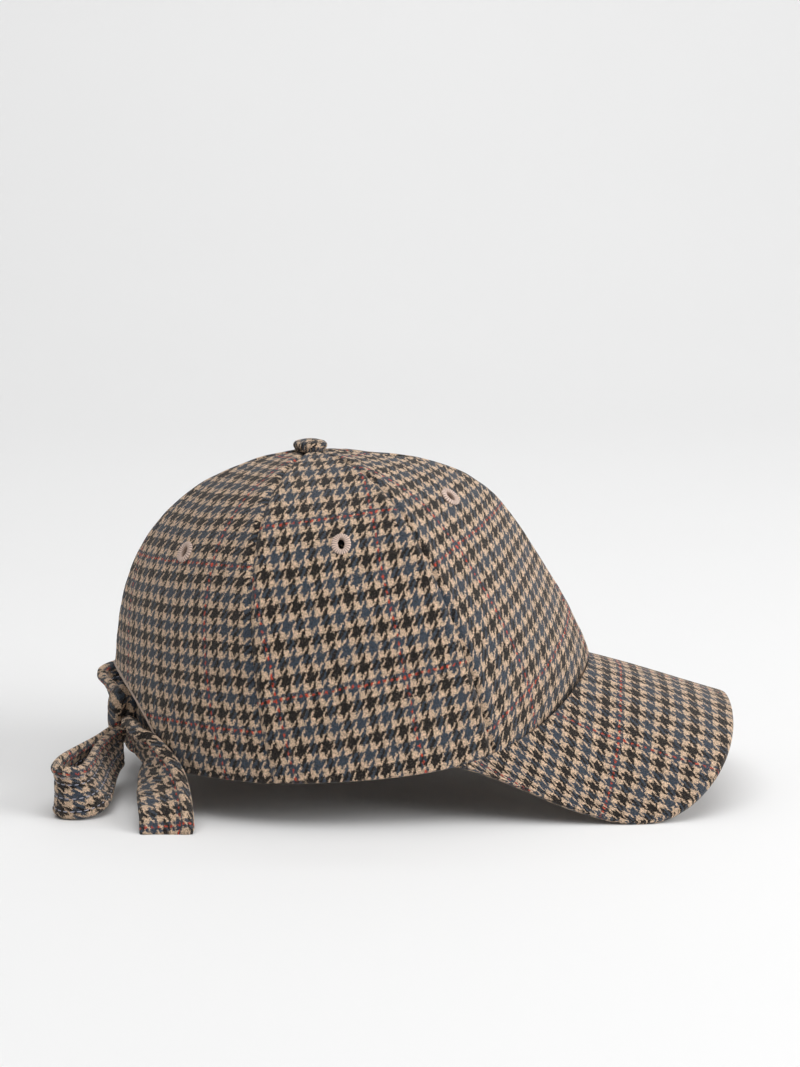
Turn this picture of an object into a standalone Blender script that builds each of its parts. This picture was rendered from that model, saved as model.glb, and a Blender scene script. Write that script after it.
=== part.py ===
"""Six-panel wool cap with a curved peak, a covered top button and a bow tied across the back opening.

Metres, +Z up, peak towards +X, the wearer's right side towards -Y.
"""
from math import cos, pi, radians, sin, sqrt

import bpy
import numpy as np

# Crown: the oval at its foot, its height and where the panels meet
CROWN_LENGTH = 0.2150
CROWN_WIDTH = 0.1640
CROWN_HEIGHT = 0.1305
CROWN_CENTRE_X = 0.0015
APEX_X = -0.0172
WALL = 0.0020
SEAM_GAP = 0.0003

# Hem: level at the back, then climbing to the brow over a length that ends at the crown's front.
# It climbs evenly by one height and steepens to the brow by another
HEM_RISE_LENGTH = 0.1440
HEM_SLOPE_RISE = 0.0077
HEM_BROW_RISE = 0.0320
HEM_BROW_POWER = 4.56

# Crown profile, one row for each level from the foot to the apex.
# Columns: rise as a share of CROWN_HEIGHT, then the reach to the front, side and back as shares
# of the foot oval
PROFILE = (
    (0.000, 1.000, 0.988, 0.978),
    (0.150, 0.993, 1.000, 0.998),
    (0.320, 0.971, 0.994, 0.976),
    (0.500, 0.885, 0.950, 0.938),
    (0.650, 0.793, 0.860, 0.864),
    (0.780, 0.704, 0.730, 0.738),
    (0.880, 0.610, 0.565, 0.562),
    (0.950, 0.470, 0.365, 0.345),
    (0.985, 0.285, 0.190, 0.180),
    (1.000, 0.000, 0.000, 0.000),
)

# Seams between the panels: turn from the peak's direction, in degrees
SEAMS = {
    "brow": {"hem": 0.0, "middle": 0.0, "apex": 0.0},
    "temple": {"hem": 38.5, "middle": 49.0, "apex": 48.0},
    "ear": {"hem": 100.3, "middle": 110.5, "apex": 113.0},
    "nape": {"hem": 180.0, "middle": 180.0, "apex": 180.0},
}

# How flat each panel is across: 0 follows the oval, 1 is straight from seam to seam
FLATNESS_AT_HEM = 0.10
FLATNESS_AT_APEX = 0.85

# Panels between those seams, with the place of each panel's eyelet across and up it, as shares
PANELS = {
    "front": {"first": "brow", "last": "temple", "eyelet_across": 0.50, "eyelet_level": 0.655},
    "side": {"first": "temple", "last": "ear", "eyelet_across": 0.46, "eyelet_level": 0.535},
    "back": {"first": "ear", "last": "nape", "eyelet_across": 0.50, "eyelet_level": 0.485},
}
PANEL_CELLS_ACROSS = 8
PANEL_CELLS_UP = 14

# Eyelets: stitched rings through the panels
EYELET_RADIUS = 0.0040
EYELET_BORE_RADIUS = 0.0012
EYELET_BARREL_RADIUS = 0.0020
EYELET_LIP = 0.0007
EYELET_CLEARANCE = 0.0003
EYELET_SIDES = 12

# Opening at the back, an arch from the hem
ARCH_HALF_WIDTH = 0.0500
ARCH_HEIGHT = 0.0360
ARCH_STEPS = 18

# Covered button on the apex
BUTTON_RADIUS = 0.0074
BUTTON_SIDE = 0.0027
BUTTON_DOME = 0.0018
BUTTON_SHANK_RADIUS = 0.0024
BUTTON_SHANK_LENGTH = 0.0034
BUTTON_SHANK_EASE = 0.0006
BUTTON_CLEARANCE = 0.0003
BUTTON_SIDES = 20
# Columns: shares of BUTTON_RADIUS, BUTTON_SIDE and BUTTON_DOME
BUTTON_PROFILE = (
    (0.94, 0.0, 0.00),
    (1.00, 0.3, 0.00),
    (1.00, 0.8, 0.00),
    (0.90, 1.0, 0.30),
    (0.55, 1.0, 0.85),
)

# Peak: an arched plate from the brow to a squarish rounded rim. PEAK_LENGTH is past the crown's front
# and PEAK_ROUNDING is the length over which the rim turns from the side to the tip
PEAK_LENGTH = 0.0590
PEAK_ROUNDING = 0.0680
PEAK_HALF_WIDTH = 0.0720
PEAK_THICKNESS = 0.0040
PEAK_EDGE_THICKNESS = 0.0024
PEAK_CORNER_SHARE = 0.45
PEAK_RIDGE_SLOPE = 0.300
PEAK_ARCH_RADIUS = 0.0755
PEAK_RIM_POWER = 3.2
PEAK_BULGE = 0.0005
PEAK_CLEARANCE = 0.0004
PEAK_CORNER_TURN = 49.5
BROW_STEPS = 60
RIM_SIDE_STEPS = 12
RIM_FRONT_STEPS = 30
PEAK_CELLS_ROUND = 30
PEAK_CELLS_OUT = 7

# Bow: the flat cloth strip that it is tied from. Its section has rounded edges, given as shares
STRIP_WIDTH = 0.0230
STRIP_THICKNESS = 0.0030
STRIP_FLAT_SHARE = 0.93
STRIP_EDGE_SHARE = 0.50
STRIP_CLEARANCE = 0.0005
STRAND_GAP = 0.0008

# Knot: set in from the crown's back, its middle above the hem
KNOT_SET_IN = 0.0065
KNOT_RISE = 0.0134
KNOT_HALF_DEPTH = 0.0082
KNOT_HALF_SPAN = 0.0090
KNOT_HALF_HEIGHT = 0.0135
KNOT_END_SHARE = 0.80
KNOT_SQUARENESS = 0.80
KNOT_STATIONS = 9
KNOT_SIDES = 16

# Ties: the straps from inside the arch's corners to the knot, level and above the knot's middle
TIE_WIDTH = 0.0207
TIE_RISE = 0.0015
TIE_OVERLAP = 0.0080
TIE_EASE = 0.0018
TIE_WALL_SHARE = 0.85
TIE_STEPS = 15

# Loops: swing turns the nose back and lean tips the strip over there, in degrees. exit_drop is below
# the knot's middle and nose_clear is between the strip's lower edge and the floor. The loops are fullest
# near the nose
LOOPS = {
    "right": {"length": 0.0590, "fullness": 0.0100, "swing": 14.5, "lean": 0.0,
              "exit_drop": 0.0145, "nose_clear": 0.0001},
    "left": {"length": 0.0420, "fullness": 0.0060, "swing": 3.0, "lean": 45.0,
             "exit_drop": 0.0060, "nose_clear": 0.0215},
}
LOOP_DROP_POWER = 1.5
LOOP_LEAN_POWER = 3
LOOP_FULL_POWER = 1.5
LOOP_STEPS = 30

# Tails: where each leaves the knot, below the knot's middle, and the way that it falls to the floor.
# Columns: forward and outward as shares of TAIL_LENGTH, height as a share of the exit's height over
# the floor, and roll, which turns the strip's width from upright to level, in degrees
TAIL_EXIT_DROP = {"right": 0.0115, "left": 0.0155}
TAIL_LENGTH = 0.0880
TAIL_ROUTE = (
    (0.000, 0.000, 1.00, 0.0),
    (0.004, 0.150, 1.04, 4.0),
    (0.025, 0.300, 1.06, 10.0),
    (0.055, 0.430, 1.03, 18.0),
    (0.115, 0.555, 0.95, 48.0),
    (0.200, 0.680, 0.76, 72.0),
    (0.245, 0.805, 0.44, 84.0),
    (0.260, 0.885, 0.00, 90.0),
)
TAIL_STEPS = 20

# The right side is -Y
SIDES = {"right": -1.0, "left": 1.0}

# Rounds of halving in each search for a place
HALVINGS = 24

# Colours, all over the cloth and for the thread
CLOTH_COLOUR = (0.26, 0.21, 0.17)
THREAD_COLOUR = (0.50, 0.36, 0.30)


def clear_scene():
    for old in list(bpy.context.scene.objects):
        bpy.data.objects.remove(old, do_unlink=True)


def material(name, colour, roughness):
    made = bpy.data.materials.new(name)
    made.use_nodes = True
    shader = made.node_tree.nodes["Principled BSDF"]
    shader.inputs["Base Color"].default_value = (*colour, 1.0)
    shader.inputs["Roughness"].default_value = roughness
    shader.inputs["Metallic"].default_value = 0.0
    return made


def add_object(name, points, faces, finish, parent=None):
    mesh = bpy.data.meshes.new(name)
    mesh.from_pydata([tuple(map(float, p)) for p in points], [], faces)
    mesh.validate()
    mesh.materials.append(finish)
    mesh.shade_smooth()
    mesh.set_sharp_from_angle(angle=radians(50.0))
    made = bpy.data.objects.new(name, mesh)
    bpy.context.scene.collection.objects.link(made)
    made.parent = parent
    return made


def curve_through(rows, share):
    """Smooth curve through evenly spaced rows of numbers, read at a share from 0 to 1."""
    rows = np.asarray(rows, float)
    place = min(max(share, 0.0), 1.0) * (len(rows) - 1)
    i = min(int(place), len(rows) - 2)
    t = place - i
    b, c = rows[i], rows[i + 1]
    a = rows[i - 1] if i > 0 else 2 * b - c
    d = rows[i + 2] if i + 2 < len(rows) else 2 * c - b
    return b + 0.5 * t * (c - a + t * (2 * a - 5 * b + 4 * c - d + t * (3 * (b - c) + d - a)))


def unit(v):
    return v / np.linalg.norm(v)


def foot_reach(turn):
    """Distance from the apex axis to the foot oval in one direction."""
    a, b = CROWN_LENGTH / 2, CROWN_WIDTH / 2
    x0 = APEX_X - CROWN_CENTRE_X
    k = (cos(turn) / a) ** 2 + (sin(turn) / b) ** 2
    h = x0 * cos(turn) / a ** 2
    return (-h + sqrt(h * h - k * ((x0 / a) ** 2 - 1))) / k


def profile_at(level):
    """Rise and the three reaches at a level between 0, the foot, and 1, the apex."""
    rise, front, side, back = PROFILE[-2]
    # One more row past the apex keeps the dome smooth there
    table = PROFILE + ((rise, -front, -side, -back),)
    return curve_through(table, level * (len(PROFILE) - 1) / len(PROFILE))


def smooth_crown(turn, level):
    """Point of the crown without its panels' flatness."""
    rise, front, side, back = profile_at(level)
    ahead = cos(turn) ** 2
    end = front if cos(turn) > 0 else back
    reach = foot_reach(turn) * (ahead * end + (1 - ahead) * side)
    return np.array((APEX_X + reach * cos(turn), reach * sin(turn), CROWN_HEIGHT * rise))


def crown_normal(turn, level):
    step = 1e-4
    low, high = max(level - step, 0.0), min(level + step, 1.0)
    up = smooth_crown(turn, high) - smooth_crown(turn, low)
    round_ = smooth_crown(turn + step, level) - smooth_crown(turn - step, level)
    return unit(np.cross(round_, up))


def seam_turn(seam, level):
    """Direction of a seam at a level, in radians."""
    hem, middle, apex = SEAMS[seam]["hem"], SEAMS[seam]["middle"], SEAMS[seam]["apex"]
    curve = 2 * (hem + apex - 2 * middle)
    return radians(hem + (apex - hem) * level - curve * level * (1 - level))


def hem_height(x):
    """Height of the hem over the foot."""
    start = CROWN_CENTRE_X + CROWN_LENGTH / 2 - HEM_RISE_LENGTH
    along = max((x - start) / HEM_RISE_LENGTH, 0.0)
    return HEM_SLOPE_RISE * along + HEM_BROW_RISE * along ** HEM_BROW_POWER


class Panel:
    """One gore of the crown between two seams; across runs 0 to 1 from the first seam to the last."""

    def __init__(self, first, last, mirror):
        self.first = first
        self.last = last
        self.mirror = mirror

    def turn(self, across, level):
        a, b = seam_turn(self.first, level), seam_turn(self.last, level)
        return a + (b - a) * across

    def point(self, across, level):
        a, b = seam_turn(self.first, level), seam_turn(self.last, level)
        flat = FLATNESS_AT_HEM + (FLATNESS_AT_APEX - FLATNESS_AT_HEM) * level
        chord = (1 - across) * smooth_crown(a, level) + across * smooth_crown(b, level)
        return (1 - flat) * smooth_crown(a + (b - a) * across, level) + flat * chord

    def normal(self, across, level):
        return crown_normal(self.turn(across, level), level)

    def hem_level(self, across):
        """Level at which the hem crosses, found by halving."""
        low, high = 0.0, 0.5
        for _ in range(HALVINGS):
            middle = (low + high) / 2
            p = self.point(across, middle)
            if p[2] < hem_height(p[0]):
                low = middle
            else:
                high = middle
        return high

    def top_level(self):
        """Level of the small hole round the apex, which the button's shank passes."""
        low, high = 0.9, 1.0
        for _ in range(HALVINGS):
            middle = (low + high) / 2
            p = self.point(0.5, middle)
            if np.hypot(p[0] - APEX_X, p[1]) > BUTTON_SHANK_RADIUS + BUTTON_SHANK_EASE:
                low = middle
            else:
                high = middle
        return low

    def seat(self, y, height):
        """Point and outward direction of the panel at a distance from the middle plane and a height."""
        low, high = 0.0, 1.0
        for _ in range(HALVINGS):
            across = (low + high) / 2
            bottom, top = 0.0, 0.8
            for _ in range(HALVINGS):
                level = (bottom + top) / 2
                if self.point(across, level)[2] < height:
                    bottom = level
                else:
                    top = level
            if self.point(across, level)[1] > y:
                low = across
            else:
                high = across
        return self.point(across, level), self.normal(across, level)

    def place(self, p):
        return np.array((p[0], self.mirror * p[1], p[2]))


def grid_solid(outer, inner):
    """Points and faces of a closed wall between two grids of the same size."""
    rows, cols = len(outer), len(outer[0])
    points = [p for row in outer for p in row] + [p for row in inner for p in row]
    size = rows * cols
    faces = []
    for i in range(rows - 1):
        for j in range(cols - 1):
            a = i * cols + j
            quad = (a, a + 1, a + cols + 1, a + cols)
            faces.append(quad)
            faces.append(tuple(size + k for k in reversed(quad)))
    rim = [j for j in range(cols)]
    rim += [i * cols + cols - 1 for i in range(1, rows)]
    rim += [(rows - 1) * cols + j for j in range(cols - 2, -1, -1)]
    rim += [i * cols for i in range(rows - 2, 0, -1)]
    for k, a in enumerate(rim):
        b = rim[(k + 1) % len(rim)]
        faces.append((b, a, a + size, b + size))
    return points, faces


def outward(points, faces):
    """The faces, turned over if they enclose a negative volume."""
    points = np.asarray(points, float)
    volume = 0.0
    for face in faces:
        for k in range(1, len(face) - 1):
            a, b, c = points[face[0]], points[face[k]], points[face[k + 1]]
            volume += np.dot(a, np.cross(b, c))
    return faces if volume > 0 else [tuple(reversed(face)) for face in faces]


def make_panel(name, panel, finish, parent):
    top = panel.top_level()
    outer, inner = [], []
    for i in range(PANEL_CELLS_UP + 1):
        up = i / PANEL_CELLS_UP
        outer_row, inner_row = [], []
        for j in range(PANEL_CELLS_ACROSS + 1):
            share = j / PANEL_CELLS_ACROSS
            hem = panel.hem_level(share)
            level = hem + (top - hem) * up
            chord = np.linalg.norm(panel.point(1, level) - panel.point(0, level))
            inset = SEAM_GAP / 2 / chord
            across = inset + (1 - 2 * inset) * share
            p = panel.point(across, level)
            q = p - WALL * panel.normal(across, level)
            if i == 0:
                q[2] = p[2]
            outer_row.append(panel.place(p))
            inner_row.append(panel.place(q))
        outer.append(outer_row)
        inner.append(inner_row)
    points, faces = grid_solid(outer, inner)
    return add_object(name, points, outward(points, faces), finish, parent)


def turned(profile, sides, origin, axis):
    """Points and faces of a closed profile (radius, along) turned round an axis."""
    axis = unit(np.asarray(axis, float))
    helper = np.array((1.0, 0.0, 0.0)) if abs(axis[0]) < 0.9 else np.array((0.0, 1.0, 0.0))
    e1 = unit(np.cross(axis, helper))
    e2 = np.cross(axis, e1)
    points, faces, rings = [], [], []
    for radius, along in profile:
        if radius == 0:
            rings.append([len(points)] * sides)
            points.append(origin + along * axis)
            continue
        rings.append([len(points) + k for k in range(sides)])
        for k in range(sides):
            a = 2 * pi * k / sides
            points.append(origin + along * axis + radius * (cos(a) * e1 + sin(a) * e2))
    closed = profile[0][0] != 0
    pairs = len(rings) if closed else len(rings) - 1
    for i in range(pairs):
        low, high = rings[i], rings[(i + 1) % len(rings)]
        for k in range(sides):
            m = (k + 1) % sides
            face = []
            for index in (low[k], low[m], high[m], high[k]):
                if index not in face:
                    face.append(index)
            faces.append(tuple(face))
    return points, faces


def cut(target, cutter):
    boolean = target.modifiers.new("Cut " + cutter.name, "BOOLEAN")
    boolean.operation = "DIFFERENCE"
    boolean.solver = "EXACT"
    boolean.object = cutter
    cutter.hide_render = True
    cutter.display_type = "WIRE"


def make_eyelet(name, panel, across, level, target, finish, parent):
    p = panel.place(panel.point(across, level))
    n = unit(panel.place(panel.normal(across, level)))
    hole = EYELET_BARREL_RADIUS + EYELET_CLEARANCE
    reach = 3 * WALL
    points, faces = turned([(0, -reach), (hole, -reach), (hole, reach), (0, reach)], EYELET_SIDES, p, n)
    cutter = add_object("cutter_" + name, points, outward(points, faces), finish, parent)
    cut(target, cutter)
    low = EYELET_CLEARANCE
    high = EYELET_CLEARANCE + EYELET_LIP
    profile = [(EYELET_BORE_RADIUS, -WALL - low), (EYELET_BARREL_RADIUS, -WALL - low),
               (EYELET_BARREL_RADIUS, low), (EYELET_RADIUS, low), (EYELET_RADIUS - EYELET_LIP / 2, high),
               (EYELET_BORE_RADIUS + EYELET_LIP / 2, high), (EYELET_BORE_RADIUS, low)]
    points, faces = turned(profile, EYELET_SIDES, p, n)
    return add_object(name, points, outward(points, faces), finish, parent)


def make_arch_cutter(finish, parent):
    """Prism through the back of the crown, half an oval standing on the hem."""
    back = CROWN_CENTRE_X - CROWN_LENGTH / 2
    near, far = back + CROWN_LENGTH / 4, back - CROWN_LENGTH / 8
    outline = [(ARCH_HALF_WIDTH, -ARCH_HEIGHT), (-ARCH_HALF_WIDTH, -ARCH_HEIGHT)]
    for k in range(ARCH_STEPS + 1):
        a = pi * (1 - k / ARCH_STEPS)
        outline.append((ARCH_HALF_WIDTH * cos(a), ARCH_HEIGHT * sin(a)))
    points = [(x, y, z) for x in (near, far) for y, z in outline]
    count = len(outline)
    faces = [tuple(range(count)), tuple(reversed(range(count, 2 * count)))]
    for k in range(count):
        m = (k + 1) % count
        faces.append((m, k, k + count, m + count))
    return add_object("cutter_arch", points, outward(points, faces), finish, parent)


def make_button(finish, parent):
    seat = CROWN_HEIGHT + BUTTON_CLEARANCE
    profile = [(0, seat - BUTTON_SHANK_LENGTH), (BUTTON_SHANK_RADIUS, seat - BUTTON_SHANK_LENGTH),
               (BUTTON_SHANK_RADIUS, seat)]
    for radius, side, dome in BUTTON_PROFILE:
        profile.append((radius * BUTTON_RADIUS, seat + side * BUTTON_SIDE + dome * BUTTON_DOME))
    profile.append((0, seat + BUTTON_SIDE + BUTTON_DOME))
    points, faces = turned(profile, BUTTON_SIDES, np.array((APEX_X, 0.0, 0.0)), (0, 0, 1))
    return add_object("top_button", points, outward(points, faces), finish, parent)


def brow_point(turn, lift):
    """Point just outside the crown's wall, at the hem's height plus a lift."""
    low, high = -0.2, 0.6
    for _ in range(HALVINGS):
        middle = (low + high) / 2
        p = smooth_brow(turn, middle)
        if p[2] < hem_height(p[0]) + lift:
            low = middle
        else:
            high = middle
    p = smooth_brow(turn, low)
    n = np.array((cos(turn), sin(turn), 0.0))
    return p + PEAK_CLEARANCE * n


def smooth_brow(turn, level):
    """The crown's outside, carried on below the foot where a level is under 0."""
    if level >= 0:
        return smooth_crown(turn, level)
    step = 0.02
    return smooth_crown(turn, 0.0) + (level / step) * (smooth_crown(turn, step) - smooth_crown(turn, 0.0))


def ridge_height(x):
    brow = brow_point(0.0, 0.0)
    return brow[2] - PEAK_RIDGE_SLOPE * (x - brow[0])


def evenly(points, count):
    """Points spaced evenly along a polyline."""
    points = np.asarray(points, float)
    steps = np.linalg.norm(np.diff(points, axis=0), axis=1)
    along = np.concatenate(([0.0], np.cumsum(steps)))
    places = np.linspace(0.0, along[-1], count)
    return np.array([[np.interp(s, along, points[:, k]) for k in range(points.shape[1])] for s in places])


def thinning(share):
    """How thick the peak is at a share of the way round, thinner at its two corners."""
    return PEAK_CORNER_SHARE + (1 - PEAK_CORNER_SHARE) * sqrt(sin(pi * share))


def brow_line(side):
    """Where the peak meets the crown, at its top (1), middle (0) or underside (-1)."""
    reach = radians(PEAK_CORNER_TURN)
    shares = [k / BROW_STEPS for k in range(BROW_STEPS + 1)]
    return [brow_point(reach * (2 * s - 1), side * thinning(s) * PEAK_THICKNESS / 2) for s in shares]


def rim_line():
    """The peak's outer edge, from its right corner round the tip to its left corner."""
    corner = brow_line(0)[-1]
    square_x = CROWN_CENTRE_X + CROWN_LENGTH / 2 + PEAK_LENGTH - PEAK_ROUNDING
    half = []
    for k in range(RIM_SIDE_STEPS + 1):
        t = k / RIM_SIDE_STEPS
        x = corner[0] + (square_x - corner[0]) * t
        y = corner[1] + (PEAK_HALF_WIDTH - corner[1]) * sin(pi / 2 * t)
        half.append((x, y, t))
    for k in range(1, RIM_FRONT_STEPS + 1):
        a = pi / 2 * k / RIM_FRONT_STEPS
        x = square_x + PEAK_ROUNDING * sin(a) ** (2 / PEAK_RIM_POWER)
        y = PEAK_HALF_WIDTH * cos(a) ** (2 / PEAK_RIM_POWER)
        half.append((x, y, 1.0))
    line = []
    for x, y, t in half:
        arch = PEAK_ARCH_RADIUS - sqrt(max(PEAK_ARCH_RADIUS ** 2 - y * y, 0.0))
        z = ridge_height(x) - arch
        line.append((x, y, corner[2] + (z - corner[2]) * sin(pi / 2 * t)))
    return [(x, -y, z) for x, y, z in line] + list(reversed(line[:-1]))


def make_peak(finish, parent):
    upper = evenly(brow_line(1), PEAK_CELLS_ROUND + 1)
    lower = evenly(brow_line(-1), PEAK_CELLS_ROUND + 1)
    rim = evenly(rim_line(), PEAK_CELLS_ROUND + 1)
    middle = np.zeros((PEAK_CELLS_ROUND + 1, PEAK_CELLS_OUT + 1, 3))
    for i in range(PEAK_CELLS_ROUND + 1):
        seat = (upper[i] + lower[i]) / 2
        for j in range(PEAK_CELLS_OUT + 1):
            t = j / PEAK_CELLS_OUT
            middle[i, j] = seat + (rim[i] - seat) * t
            middle[i, j, 2] += PEAK_BULGE * sin(pi * t) * sin(pi * i / PEAK_CELLS_ROUND)
    along = np.gradient(middle, axis=0)
    out = np.gradient(middle, axis=1)
    normal = np.cross(out, along)
    normal /= np.linalg.norm(normal, axis=2, keepdims=True)
    normal *= np.sign(normal[..., 2:3].mean())
    top, bottom = [], []
    for i in range(PEAK_CELLS_ROUND + 1):
        top_row, bottom_row = [], []
        for j in range(PEAK_CELLS_OUT + 1):
            thickness = PEAK_EDGE_THICKNESS if j == PEAK_CELLS_OUT else PEAK_THICKNESS
            half = thinning(i / PEAK_CELLS_ROUND) * thickness / 2
            top_row.append(upper[i] if j == 0 else middle[i, j] + half * normal[i, j])
            bottom_row.append(lower[i] if j == 0 else middle[i, j] - half * normal[i, j])
        top.append(top_row)
        bottom.append(bottom_row)
    points, faces = grid_solid(top, bottom)
    return add_object("peak", points, outward(points, faces), finish, parent)


def make_strip(name, path, widths, half_width, finish, parent, first=None, last=None):
    """A flat strip along a path; widths gives the direction of its width at each point."""
    path = np.asarray(path, float)
    tangents = np.gradient(path, axis=0)
    if first is not None:
        tangents[0] = first
    if last is not None:
        tangents[-1] = last
    rings = []
    for p, t, w in zip(path, tangents, widths):
        t = unit(t)
        w = unit(np.asarray(w) - np.dot(w, t) * t)
        n = np.cross(t, w)
        a, b = half_width, STRIP_THICKNESS / 2
        flat, edge = a * STRIP_FLAT_SHARE, b * STRIP_EDGE_SHARE
        upper = ((a, edge), (flat, b), (-flat, b), (-a, edge))
        lower = tuple((-c, -d) for c, d in upper)
        rings.append([p + c * w + d * n for c, d in upper + lower])
    return add_tube(name, rings, finish, parent)


def add_tube(name, rings, finish, parent):
    """A closed solid through rings of the same number of points, flat at both ends."""
    sides = len(rings[0])
    points = [q for ring in rings for q in ring]
    faces = [tuple(range(sides)), tuple(reversed(range(len(points) - sides, len(points))))]
    for i in range(len(rings) - 1):
        for k in range(sides):
            m = (k + 1) % sides
            a, b = i * sides + k, i * sides + m
            faces.append((b, a, a + sides, b + sides))
    return add_object(name, points, outward(points, faces), finish, parent)


def knot_middle():
    return np.array((CROWN_CENTRE_X - CROWN_LENGTH / 2 + KNOT_SET_IN, 0.0, KNOT_RISE))


def strand_x(place):
    """Where a strand leaves the knot: 0 is the tie, then the tail and the loop's two strands."""
    pitch = STRIP_THICKNESS + STRAND_GAP
    return knot_middle()[0] + (1.5 - place) * pitch


def make_knot(finish, parent):
    """Rounded lump of wrapped strip with flat ends towards the two loops."""
    middle = knot_middle()
    rings = []
    for i in range(KNOT_STATIONS):
        y = -1 + 2 * i / (KNOT_STATIONS - 1)
        swell = KNOT_END_SHARE + (1 - KNOT_END_SHARE) * sqrt(max(1 - y * y, 0.0))
        ring = []
        for k in range(KNOT_SIDES):
            a = 2 * pi * k / KNOT_SIDES
            depth = KNOT_HALF_DEPTH * swell * np.sign(cos(a)) * abs(cos(a)) ** KNOT_SQUARENESS
            height = KNOT_HALF_HEIGHT * swell * np.sign(sin(a)) * abs(sin(a)) ** KNOT_SQUARENESS
            ring.append(middle + np.array((depth, KNOT_HALF_SPAN * y, height)))
        rings.append(ring)
    return add_tube("bow_knot", rings, finish, parent)


def make_loop(side, floor, finish, parent):
    row, mirror = LOOPS[side], SIDES[side]
    swing = radians(row["swing"])
    aim = np.array((-sin(swing), cos(swing), 0.0))
    cross = np.array((-cos(swing), -sin(swing), 0.0))
    exit_height = KNOT_RISE - row["exit_drop"]
    nose_height = floor + row["nose_clear"] + STRIP_WIDTH / 2
    x_mid = (strand_x(2) + strand_x(3)) / 2
    half_spread = (strand_x(2) - strand_x(3)) / 2
    path, widths = [], []
    for k in range(LOOP_STEPS + 1):
        s = k / LOOP_STEPS
        out = sin(pi * s)
        p = np.array((x_mid + half_spread * cos(pi * s), KNOT_HALF_SPAN + STRIP_CLEARANCE, 0.0))
        fullness = row["fullness"] * out ** LOOP_FULL_POWER
        p += row["length"] * out * aim - fullness * sin(2 * pi * s) * cross
        height = exit_height + (nose_height - exit_height) * out ** LOOP_DROP_POWER
        tilt = radians(row["lean"]) * out ** LOOP_LEAN_POWER
        path.append(np.array((p[0], mirror * p[1], height)))
        widths.append(np.array((-sin(tilt), 0.0, cos(tilt))))
    start = np.array((0.0, mirror, 0.0))
    return make_strip("bow_loop_" + side, path, widths, STRIP_WIDTH / 2, finish, parent, start, -start)


def make_tail(side, floor, finish, parent):
    mirror = SIDES[side]
    exit_over_floor = KNOT_RISE - TAIL_EXIT_DROP[side] - floor
    path, widths = [], []
    for k in range(TAIL_STEPS + 1):
        forward, out, height, roll = curve_through(TAIL_ROUTE, k / TAIL_STEPS)
        x = strand_x(1) + forward * TAIL_LENGTH
        y = KNOT_HALF_SPAN + STRIP_CLEARANCE + out * TAIL_LENGTH
        path.append(np.array((x, mirror * y, floor + height * exit_over_floor)))
        widths.append(np.array((sin(radians(roll)), 0.0, cos(radians(roll)))))
    start = np.array((0.0, mirror, 0.0))
    down = np.array((0.0, 0.0, -1.0))
    return make_strip("bow_tail_" + side, path, widths, STRIP_WIDTH / 2, finish, parent, start, down)


def make_tie(side, finish, parent):
    """The strap from inside the back panel's corner to the knot."""
    mirror = SIDES[side]
    inset = WALL + STRIP_THICKNESS / 2 + TIE_EASE
    panel = Panel("ear", "nape", 1.0)
    height = KNOT_RISE + TIE_RISE
    rows = []
    for share in (1.0, TIE_WALL_SHARE):
        p, n = panel.seat(share * (ARCH_HALF_WIDTH + TIE_OVERLAP), height)
        rows.append(p - inset * n)
    wall_end = rows[-1]
    knot_end = np.array((strand_x(0), KNOT_HALF_SPAN + STRIP_CLEARANCE, height))
    rows += [wall_end + (knot_end - wall_end) * k / 3 for k in (1, 2, 3)]
    path = []
    for k in range(TIE_STEPS + 1):
        x, y, _ = curve_through(rows, k / TIE_STEPS)
        path.append(np.array((x, mirror * y, height)))
    widths = [np.array((0.0, 0.0, 1.0))] * len(path)
    end = np.array((0.0, -mirror, 0.0))
    return make_strip("tie_" + side, path, widths, TIE_WIDTH / 2, finish, parent, None, end)


def lowest(obj):
    return min(v.co.z for v in obj.data.vertices)


def main():
    clear_scene()
    cloth = material("check_wool", CLOTH_COLOUR, 0.95)
    thread = material("thread", THREAD_COLOUR, 0.85)
    cap = bpy.data.objects.new("cap_frame", None)
    bpy.context.scene.collection.objects.link(cap)
    arch = make_arch_cutter(cloth, cap)
    for side, mirror in SIDES.items():
        for name, row in PANELS.items():
            panel = Panel(row["first"], row["last"], mirror)
            made = make_panel("panel_%s_%s" % (name, side), panel, cloth, cap)
            across, level = row["eyelet_across"], row["eyelet_level"]
            make_eyelet("eyelet_%s_%s" % (name, side), panel, across, level, made, thread, cap)
            if name == "back":
                cut(made, arch)
    make_button(cloth, cap)
    peak = make_peak(cloth, cap)
    floor = lowest(peak)
    make_knot(cloth, cap)
    for side in SIDES:
        make_loop(side, floor, cloth, cap)
        make_tail(side, floor, cloth, cap)
        make_tie(side, cloth, cap)
    # Stand the cap on its lowest points, with the middle of its box on the origin
    solids = [o for o in bpy.context.scene.objects if o.type == "MESH" and not o.hide_render]
    xs = [v.co.x for o in solids for v in o.data.vertices]
    cap.location = (-(min(xs) + max(xs)) / 2, 0.0, -min(lowest(o) for o in solids))
    bpy.context.view_layer.update()


main()
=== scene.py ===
from math import cos, pi, radians, sin, sqrt

import bpy
import numpy as np
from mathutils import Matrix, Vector, noise


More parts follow.
